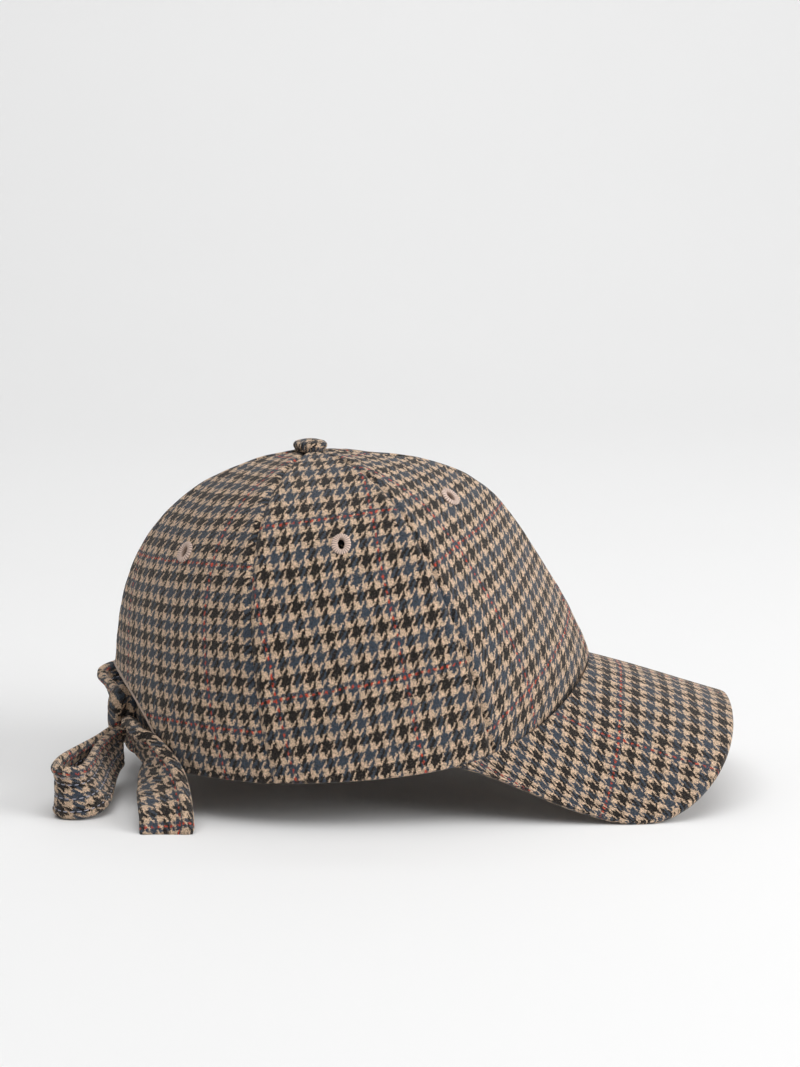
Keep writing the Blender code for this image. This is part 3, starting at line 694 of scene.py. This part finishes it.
def make_eyelet(name, row, mirror, finish):
    """Ring of thread stitched round a hole, each stitch a ridge over the edge."""
    at = panel_point(row, row["eyelet_across"], row["eyelet_level"]) * (1, mirror, 1)
    n = unit(panel_normal(row, row["eyelet_across"], row["eyelet_level"]) * (1, mirror, 1))
    axes = eyelet_axes(n)
    stations, sides = EYELET_STITCHES * 8, 18
    points, ridges = [], []
    middle = (EYELET_OUTER + EYELET_BORE) / 2
    half = (EYELET_OUTER - EYELET_BORE) / 2
    for k in range(stations):
        turn = 2 * pi * k / stations
        # Round threads with a sharp dip between them
        ridge = sqrt(abs(sin(EYELET_STITCHES * turn / 2)))
        uneven = 0.00025 * grain((cos(turn), sin(turn), 3.0 + mirror), 0.35)
        for m in range(sides):
            a = 2 * pi * m / sides
            reach = middle + (half - 0.0002 + uneven + 0.5 * EYELET_RIDGE * ridge) * cos(a)
            h = 0.0005 + (0.00040 + EYELET_RIDGE * ridge) * sin(a)
            if sin(a) < 0:
                h = 0.0003 + (WALL + 0.0008 if cos(a) < 0 else 0.0006) * sin(a)
            points.append(at + reach[0] * cos(turn) * axes[0] + reach[1] * sin(turn) * axes[1] + h * n)
            ridges.append(ridge)
    faces = grid_faces(stations, sides, closed=True)
    last = (stations - 1) * sides
    faces += [(last + j, last + (j + 1) % sides, (j + 1) % sides, j) for j in range(sides)]
    made = add_mesh("ring_" + name, points, facing_out(points, faces), finish)
    # The ridge heights also steer the shade painted into the dips of the ring thread
    made.data.attributes.new("ridge", "FLOAT", "POINT").data.foreach_set("value", ridges)
    return made, at, n


def make_arch_edge(row, finish):
    """Narrow turned edge of the cloth round the arch at the back."""
    turn = np.linspace(0.03, pi - 0.03, 161)
    y = ARCH_HALF_WIDTH * np.cos(turn)
    z = ARCH_HEIGHT * np.sin(turn)
    across, level = seat(row, np.abs(y), z)
    p = panel_point(row, across, level)
    n = panel_normal(row, across, level)
    sign = np.where(y < 0, -1.0, 1.0)[:, None] * np.array((0, 1, 0)) + np.array((1, 0, 1))
    p, n = p * sign, n * sign
    path = p - 0.5 * WALL * n
    tangent = unit(np.gradient(path, axis=0))
    side = unit(np.cross(tangent, n))
    a = np.linspace(0, 2 * pi, 14, endpoint=False)
    wide, high = 0.5 * WALL + 0.00045, 0.00065
    rings = (path[:, None] + wide * np.sin(a)[None, :, None] * n[:, None]
             + high * np.cos(a)[None, :, None] * side[:, None])
    points, faces = tube_through(rings)
    return add_mesh("arch_edge", points, faces, finish)


# Peak

def smooth_brow(turn, level):
    if level >= 0:
        return smooth_crown(turn, level)
    step = 0.02
    return smooth_crown(turn, 0.0) + (level / step) * (smooth_crown(turn, step) - smooth_crown(turn, 0.0))


def brow_point(turn, lift):
    low, high = -0.2, 0.6
    for _ in range(24):
        middle = (low + high) / 2
        p = smooth_brow(turn, middle)
        if p[2] < hem_height(p[0]) + lift:
            low = middle
        else:
            high = middle
    return smooth_brow(turn, low) - PEAK_TUCK * np.array((cos(turn), sin(turn), 0.0))


def evenly(points, count):
    points = np.asarray(points, float)
    steps = np.linalg.norm(np.diff(points, axis=0), axis=1)
    along = np.concatenate(([0.0], np.cumsum(steps)))
    places = np.linspace(0.0, along[-1], count)
    return np.stack([np.interp(places, along, points[:, k]) for k in range(points.shape[1])], -1)


def thinning(share):
    return PEAK_CORNER_SHARE + (1 - PEAK_CORNER_SHARE) * np.sqrt(np.sin(pi * np.clip(share, 0, 1)))


def brow_line(side):
    reach = radians(PEAK_CORNER_TURN)
    shares = np.linspace(0, 1, 91)
    return [brow_point(reach * (2 * s - 1), side * thinning(s) * PEAK_THICKNESS / 2) for s in shares]


def rim_line():
    corner = brow_line(0)[-1]
    brow = brow_point(0.0, 0.0)
    square_x = CROWN_CENTRE_X + CROWN_LENGTH / 2 + PEAK_LENGTH - PEAK_ROUNDING
    half = []
    for t in np.linspace(0, 1, 25):
        half.append((corner[0] + (square_x - corner[0]) * t,
                     corner[1] + (PEAK_HALF_WIDTH - corner[1]) * sin(pi / 2 * t), t))
    for a in np.linspace(0, pi / 2, 121)[1:]:
        half.append((square_x + PEAK_ROUNDING * sin(a) ** (2 / PEAK_RIM_POWER),
                     PEAK_HALF_WIDTH * abs(cos(a)) ** (2 / PEAK_RIM_POWER), 1.0))
    line = []
    for x, y, t in half:
        arch = PEAK_ARCH_RADIUS - sqrt(max(PEAK_ARCH_RADIUS ** 2 - y * y, 0.0))
        z = brow[2] - PEAK_RIDGE_SLOPE * (x - brow[0]) - arch
        line.append((x, y, corner[2] + (z - corner[2]) * sin(pi / 2 * t)))
    return [(x, -y, z) for x, y, z in line] + list(reversed(line[:-1]))


def make_peak(cloth):
    """Stiff arched plate covered in cloth, with a full round edge."""
    around, out = 161, 44
    seat_line = (evenly(brow_line(1), around) + evenly(brow_line(-1), around)) / 2
    rim = evenly(rim_line(), around)
    share = np.linspace(0, 1, around)
    half = thinning(share) * PEAK_THICKNESS / 2
    reach = np.linalg.norm(rim - seat_line, axis=1)
    keep = 1 - half / np.maximum(reach, 1e-6)
    t = np.linspace(0, 1, out)[None, :] * np.maximum(keep, 0.02)[:, None]
    middle = seat_line[:, None] + (rim - seat_line)[:, None] * t[..., None]
    middle[..., 2] += PEAK_BULGE * np.sin(pi * t) * np.sin(pi * share)[:, None]
    along, outward = np.gradient(middle, axis=0), np.gradient(middle, axis=1)
    normal = unit(np.cross(outward, along))
    normal *= np.sign(normal[..., 2].mean())
    away = unit(rim - seat_line)
    rings = []
    for i in range(around):
        top = middle[i] + half[i] * normal[i]
        bottom = middle[i] - half[i] * normal[i]
        for j in range(out):
            swell = 0.00035 * grain(middle[i, j] + 3.0, 0.03)
            top[j] += swell * normal[i, j]
        turn = np.linspace(pi / 2, -pi / 2, 13)[1:-1]
        edge = [middle[i, -1] + half[i] * (sin(a) * normal[i, -1] + cos(a) * away[i]) for a in turn]
        rings.append(np.concatenate((top, edge, bottom[::-1])))
    rings = np.array(rings)
    points, faces = tube_through(rings)
    slope = sqrt(1 + PEAK_RIDGE_SLOPE ** 2)
    u = -PEAK_ARCH_RADIUS * np.arcsin(np.clip(points[:, 1] / PEAK_ARCH_RADIUS, -0.999, 0.999))
    v = points[:, 0] * slope
    flat = thread_uv("peak", u / (1 + PEAK_FAN * (v - PEAK_FAN_START)), v + PEAK_WEFT_BOW * u ** 2)
    return add_mesh("peak_cover", points, faces, cloth, flat)


def make_button(cloth):
    """Covered button with a soft edge, gathered underneath."""
    low = CROWN_HEIGHT + BUTTON_CLEARANCE - 0.0022
    profile = [(0.0030, low), (0.0058, low + 0.0016), (0.0069, low + 0.0020)]
    for a in np.linspace(-0.9, pi / 2, 16):
        radius = BUTTON_RADIUS - 0.0020 + 0.0020 * cos(a)
        profile.append((radius, CROWN_HEIGHT + 0.0022 + 0.0020 * sin(a)))
    top = profile[-1]
    for share in np.linspace(0.82, 0.0, 12):
        profile.append((top[0] * share, top[1] + 0.0009 * (1 - share ** 2)))
    sides = 72
    turn = np.linspace(0, 2 * pi, sides, endpoint=False)
    rings = []
    for k, (radius, z) in enumerate(profile[:-1]):
        fold = 0.00012 * np.sin(11 * turn) * min(k / 4.0, 1.0) * (1.0 if k < 12 else 0.35)
        r = radius + fold
        rings.append(np.stack((APEX_X + r * np.cos(turn), r * np.sin(turn), np.full(sides, z)), -1))
    points, faces = tube_through(rings)
    # The cloth lies flat on top and runs down over the edge, so the way down counts too
    x, y, z = points.T
    x = x - APEX_X
    radius = np.maximum(np.hypot(x, y), 0.0002)
    reach = (radius + z.max() - z) / radius
    flat = thread_uv("button", x * reach, y * reach)
    return add_mesh("button_cover", points, faces, cloth, flat)


# Bow

def ribbon(name, path, widths, half_width, cloth, start, end, wave, rolls, seed,
           grooves=(), swell=None, gather=None, round_end=False, u_middle=0.0):
    """A flat strip with rolled edges along a path; widths gives the direction of its width."""
    path = np.asarray(path, float)
    tangents = np.gradient(path, axis=0)
    if start is not None:
        tangents[0] = start
    if end is not None:
        tangents[-1] = end
    tangents = unit(tangents)
    w = np.asarray(widths, float)
    w = unit(w - (w * tangents).sum(1, keepdims=True) * tangents)
    n = np.cross(tangents, w)
    steps = np.linalg.norm(np.diff(path, axis=0), axis=1)
    along = np.concatenate(([0.0], np.cumsum(steps)))
    cells = 34
    cross = np.cos(np.linspace(0, pi, cells))
    edge = np.sqrt(np.maximum(1 - np.abs(cross) ** 9, 0))
    roll = np.where(cross > 0, rolls[0], rolls[1])
    share = np.exp(-(((1 - roll / 2 / half_width) - np.abs(cross)) / ROLL_SPREAD) ** 2)
    swell = np.ones(len(path)) if swell is None else swell
    gather = np.ones(len(path)) if gather is None else gather
    groove = sum(0.0010 * np.exp(-((cross - g) / 0.045) ** 2) for g in grooves)
    thick = MIDDLE_THICKNESS + (roll - MIDDLE_THICKNESS) * share * swell[:, None] - groove
    h = thick / 2 * edge
    left = along[-1] - along
    closing = np.ones(len(path))
    if round_end:
        closing = np.sqrt(1 - (1 - np.clip(left / END_ROUND, 0.02, 1)) ** 2)
    h = h * closing[:, None]
    rings, uvs = [], []
    for i, s in enumerate(along):
        flat = np.concatenate(([0.0], np.cumsum(np.hypot(np.diff(cross * half_width), np.diff(h[i])))))
        flat = flat[-1] / 2 - flat
        narrow = half_width * gather[i] - 0.0012 * (1 - closing[i])
        ring = []
        for k, face in [(k, 1) for k in range(cells)] + [(k, -1) for k in range(cells - 2, 0, -1)]:
            ripple = wave * grain((s, cross[k] * half_width * 0.7, seed), 0.012)
            ring.append(path[i] + cross[k] * narrow * w[i] + (face * h[i, k] + ripple) * n[i])
            uvs.append((u_middle + flat[k], s))
        rings.append(ring)
    points, faces = tube_through(rings)
    uvs = np.array(uvs)
    made = add_mesh(name, points, faces, cloth, thread_uv("bow", uvs[:, 0], uvs[:, 1]))
    return made, (path, w, n, along, h, cross)


def stitches(name, lines, finish):
    """Short raised stitches along rows on a strip's two faces."""
    points, faces = [], []
    for path, up in lines:
        steps = np.linalg.norm(np.diff(path, axis=0), axis=1)
        along = np.concatenate(([0.0], np.cumsum(steps)))
        at = 0.0012
        while at + STITCH_LENGTH < along[-1]:
            places = np.linspace(at, at + STITCH_LENGTH, 5)
            line = np.stack([np.interp(places, along, path[:, k]) for k in range(3)], -1)
            lift = np.stack([np.interp(places, along, up[:, k]) for k in range(3)], -1)
            lift = unit(lift)
            tangent = unit(np.gradient(line, axis=0))
            side = unit(np.cross(tangent, lift))
            first = len(points)
            for k in range(5):
                swell = (0.35, 0.9, 1.0, 0.9, 0.35)[k] * STITCH_RADIUS
                sink = (-0.00022, 0.00002, 0.00008, 0.00002, -0.00022)[k]
                for m in range(6):
                    a = 2 * pi * m / 6
                    points.append(line[k] + lift[k] * (sink + swell * sin(a)) + side[k] * swell * cos(a))
            for k in range(4):
                for m in range(6):
                    a, b = first + k * 6 + m, first + k * 6 + (m + 1) % 6
                    faces.append((a, b, b + 6, a + 6))
            faces.append(tuple(first + m for m in reversed(range(6))))
            faces.append(tuple(first + 24 + m for m in range(6)))
            at += STITCH_LENGTH + STITCH_GAP
    return add_mesh(name, points, facing_out(points, faces), finish)


def stitch_lines(made, rows):
    path, w, n, along, h, cross = made
    lines = []
    for share in rows:
        height = np.array([np.interp(share, cross[::-1], row[::-1]) for row in h])[:, None]
        for face in (1, -1):
            lines.append((path + share * STRIP_WIDTH / 2 * w + face * height * n, face * n))
    return lines


def knot_middle():
    return np.array((CROWN_CENTRE_X - CROWN_LENGTH / 2 + KNOT_SET_IN, 0.0, KNOT_RISE))


def strand_x(place):
    return knot_middle()[0] + (1.5 - place) * (STRIP_THICKNESS + STRAND_GAP)


def make_loop(side, floor, cloth):
    row, mirror = LOOPS[side], SIDES[side]
    swing = radians(row["swing"])
    aim = np.array((-sin(swing), cos(swing), 0.0))
    cross = np.array((-cos(swing), -sin(swing), 0.0))
    exit_height = KNOT_RISE - row["exit_drop"]
    nose_height = floor + row["nose_clear"] + STRIP_WIDTH / 2
    x_mid = (strand_x(2) + strand_x(3)) / 2
    half_spread = (strand_x(2) - strand_x(3)) / 2
    path, widths = [], []
    for s in np.linspace(0, 1, 150):
        out = sin(pi * s)
        p = np.array((x_mid + half_spread * cos(pi * s), KNOT_HALF_SPAN - 0.002, 0.0))
        # Fullest near the nose, with its two strands close together at the knot
        p += row["length"] * out * aim - row["fullness"] * sin(2 * pi * s) * out ** 1.5 * cross
        height = exit_height + (nose_height - exit_height) * out ** LOOP_DROP_POWER
        tilt = radians(row["lean"]) * out ** LOOP_LEAN_POWER
        path.append((p[0], mirror * p[1], height))
        tilt += radians(row["open"]) * max(sin(2 * pi * s), 0.0)
        widths.append((-sin(tilt), 0.0, cos(tilt)))
    start = np.array((0.0, mirror, 0.0))
    out = np.sin(np.linspace(0, pi, len(path)))
    return ribbon("loop_" + side, path, widths, STRIP_WIDTH / 2, cloth, start, -start, 0.0004, LOOP_ROLLS,
                  5.0 + mirror, STITCH_ROWS, swell=0.25 + 0.75 * out, gather=0.84 + 0.16 * out)


def make_tail(side, floor, cloth):
    mirror = SIDES[side]
    over = KNOT_RISE - TAIL_EXIT_DROP[side] - floor
    path, widths, gather = [], [], []
    for s in np.linspace(0, 1, 120):
        forward, out, height, roll = curve_through(TAIL_ROUTE, s)
        x = strand_x(1) + forward * TAIL_LENGTH
        y = KNOT_HALF_SPAN - 0.002 + (out + 0.02 * s) * TAIL_LENGTH
        path.append((x, mirror * y, floor + height * over))
        shares, turns = zip(*TAIL_TUCK)
        tuck = radians(np.interp(s, shares, turns))
        flat = np.array((sin(radians(roll)), 0.0, cos(radians(roll))))
        turned = flat * cos(tuck) + np.array((0.0, mirror * sin(tuck), 0.0))
        gather.append(TAIL_GATHER + (1 - TAIL_GATHER) * sin(pi / 2 * min(s / TAIL_OPEN_FROM, 1.0)) ** 2)
        path[-1] = path[-1] + STRIP_WIDTH / 2 * (flat - gather[-1] * turned)
        widths.append(turned)
    start = np.array((0.0, mirror, 0.0))
    down = np.array((0.0, 0.0, -1.0))
    return ribbon("tail_" + side, path, widths, STRIP_WIDTH / 2, cloth, start, down, 0.0005, TAIL_ROLLS,
                  9.0 + mirror, (TAIL_GROOVE,), gather=np.array(gather), round_end=True, u_middle=0.004)


def make_tie(side, cloth):
    mirror = SIDES[side]
    inset = WALL + STRIP_THICKNESS / 2 + TIE_EASE
    height = KNOT_RISE + TIE_RISE
    rows = []
    for share in (1.0, TIE_WALL_SHARE):
        across, level = seat(PANELS["back"], share * (ARCH_HALF_WIDTH + TIE_OVERLAP), height)
        p = panel_point(PANELS["back"], across, level)
        rows.append(p - inset * panel_normal(PANELS["back"], across, level))
    wall_end = rows[-1]
    knot_end = np.array((strand_x(0), KNOT_HALF_SPAN - 0.002, height))
    rows += [wall_end + (knot_end - wall_end) * k / 3 for k in (1, 2, 3)]
    path = curve_through(rows, np.linspace(0, 1, 70)) * (1, mirror, 1)
    path[:, 2] = height
    widths = np.tile((0.0, 0.0, 1.0), (len(path), 1))
    return ribbon("strap_" + side, path, widths, TIE_WIDTH / 2, cloth, None, (0.0, -mirror, 0.0), 0.0003, TIE_ROLLS,
                  13.0 + mirror)


def make_knot(cloth):
    """Wrapped lump with the strip's folds running round it."""
    middle = knot_middle()
    stations, sides = 64, 96
    rings = []
    for i in range(stations):
        y = -cos(pi * i / (stations - 1))
        swell = max(1 - abs(y) ** 3.4, 0.0) ** 0.42
        swell = 0.05 + 0.95 * swell
        ring = []
        for k in range(sides):
            a = 2 * pi * k / sides
            # Two folds of the strip lie across the knot at a slant, with a crease between them
            slant = y + 0.45 * sin(a + 0.6)
            crease = -0.0011 * np.exp(-((slant - 0.10) / 0.13) ** 2) - 0.0007 * np.exp(-((slant + 0.62) / 0.10) ** 2)
            lump = 0.0005 * grain((cos(a) * 0.01, y * 0.01, sin(a) * 0.01), 0.006)
            depth = (KNOT_HALF_DEPTH * swell + crease + lump) * np.sign(cos(a)) * abs(cos(a)) ** 0.85
            height = (KNOT_HALF_HEIGHT * swell + crease + lump) * np.sign(sin(a)) * abs(sin(a)) ** 0.85
            # A winding fold runs up and down each end
            fold = (depth / KNOT_HALF_DEPTH - 0.30 * sin(2.6 * height / KNOT_HALF_HEIGHT)) / 0.20
            end = (KNOT_HALF_SPAN + 0.0014) * y * (1 - 0.20 * np.exp(-fold ** 2) * abs(y) ** 6)
            ring.append(middle + (depth, end, height))
        rings.append(ring)
    points, faces = tube_through(rings)
    x, y, z = points.T
    return add_mesh("knot_wrap", points, faces, cloth, thread_uv("knot", x + y, z + 0.5 * (x - y)))


# Putting it together

cloth = check_wool()
# The ring thread has shade painted into the dips between its stitches
ring_thread = thread("ring_thread", RING_THREAD, painted_dip_shade=True)
sewing_thread = thread("sewing_thread", SEWING_THREAD)
edge_tape = thread("edge_tape", EDGE_TAPE, 1800.0)

for side, mirror in SIDES.items():
    for name, row in PANELS.items():
        label = "%s_%s" % (name, side)
        panel, row, mirror = make_panel(name, side, cloth)
        ring, at, n = make_eyelet(label, row, mirror, ring_thread)
        cutters = [hole_cutter(at, n)]
        if name == "back":
            cutters.append(arch_cutter(cloth))
        drilled(panel, cutters)
        for piece, slot in ((panel, "check_wool"), (ring, "thread")):
            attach(piece, "root")
        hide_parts("panel_" + label)
        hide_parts("eyelet_" + label)

edge = make_arch_edge(PANELS["back"], edge_tape)
peak = make_peak(cloth)
button = make_button(cloth)
knot = make_knot(cloth)
floor_level = -CAP_SHIFT[2]
for piece, node in ((peak, "peak"), (button, "top_button"), (knot, "bow_knot"), (edge, None)):
    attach(piece, "root")
    if node:
        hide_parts(node)
for side in SIDES:
    for maker, node in ((make_loop, "bow_loop_"), (make_tail, "bow_tail_"), (make_tie, "tie_")):
        if maker is make_tie:
            piece, shape = maker(side, cloth)
        else:
            piece, shape = maker(side, floor_level, cloth)
        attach(piece, "root")
        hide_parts(node + side)
        if maker is make_loop:
            sewn = stitches("stitches_loop_" + side, stitch_lines(shape, STITCH_ROWS), sewing_thread)
            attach(sewn, "root")


# Floor and backdrop: one sweep that rises behind the cap
def make_backdrop():
    line = [(-4.0, 0.0), (1.2, 0.0)]
    for a in np.linspace(0, pi / 2, 17)[1:]:
        line.append((1.2 + 1.6 * sin(a), 1.6 - 1.6 * cos(a)))
    line.append((2.8, 6.0))
    points = [(x, y, z) for y, z in line for x in (-5.0, 5.0)]
    faces = [(2 * k, 2 * k + 1, 2 * k + 3, 2 * k + 2) for k in range(len(line) - 1)]
    return add_mesh("backdrop", points, faces, plain("backdrop_paper", (0.855, 0.855, 0.855), 0.9), shift=False)


make_backdrop()


def area_light(name, at, towards, size, power, colour=(1, 1, 1)):
    data = bpy.data.lights.new(name, "AREA")
    data.shape = "RECTANGLE"
    data.size, data.size_y = size
    data.energy = power
    data.color = colour
    made = bpy.data.objects.new(name, data)
    made.location = at
    made.rotation_euler = (Vector(towards) - Vector(at)).to_track_quat("-Z", "Y").to_euler()
    bpy.context.scene.collection.objects.link(made)


area_light("key", (1.85, -0.80, 1.05), (0.0, 0.0, 0.06), (1.6, 1.3), 34.0)
area_light("top", (0.0, -0.40, 1.95), (0.0, 0.0, 0.0), (2.0, 2.0), 23.0)
area_light("back", (0.0, 1.3, 2.2), (0.0, 2.7, 0.6), (2.4, 0.8), 16.0)
world = bpy.data.worlds.new("studio")
world.use_nodes = True
world.node_tree.nodes["Background"].inputs[0].default_value = (1, 1, 1, 1)
world.node_tree.nodes["Background"].inputs[1].default_value = 0.31
bpy.context.scene.world = world
bpy.context.scene.view_settings.view_transform = "Standard"

camera_data = bpy.data.cameras.new("camera")
camera_data.sensor_fit = "HORIZONTAL"
camera_data.sensor_width = 36.0
camera_data.lens = 124.6
camera = bpy.data.objects.new("camera", camera_data)
camera.location = (0.000666, -1.2, 0.3193)
camera.rotation_euler = (radians(90.0 - 9.8), 0.0, 0.0)
bpy.context.scene.collection.objects.link(camera)
bpy.context.scene.camera = camera
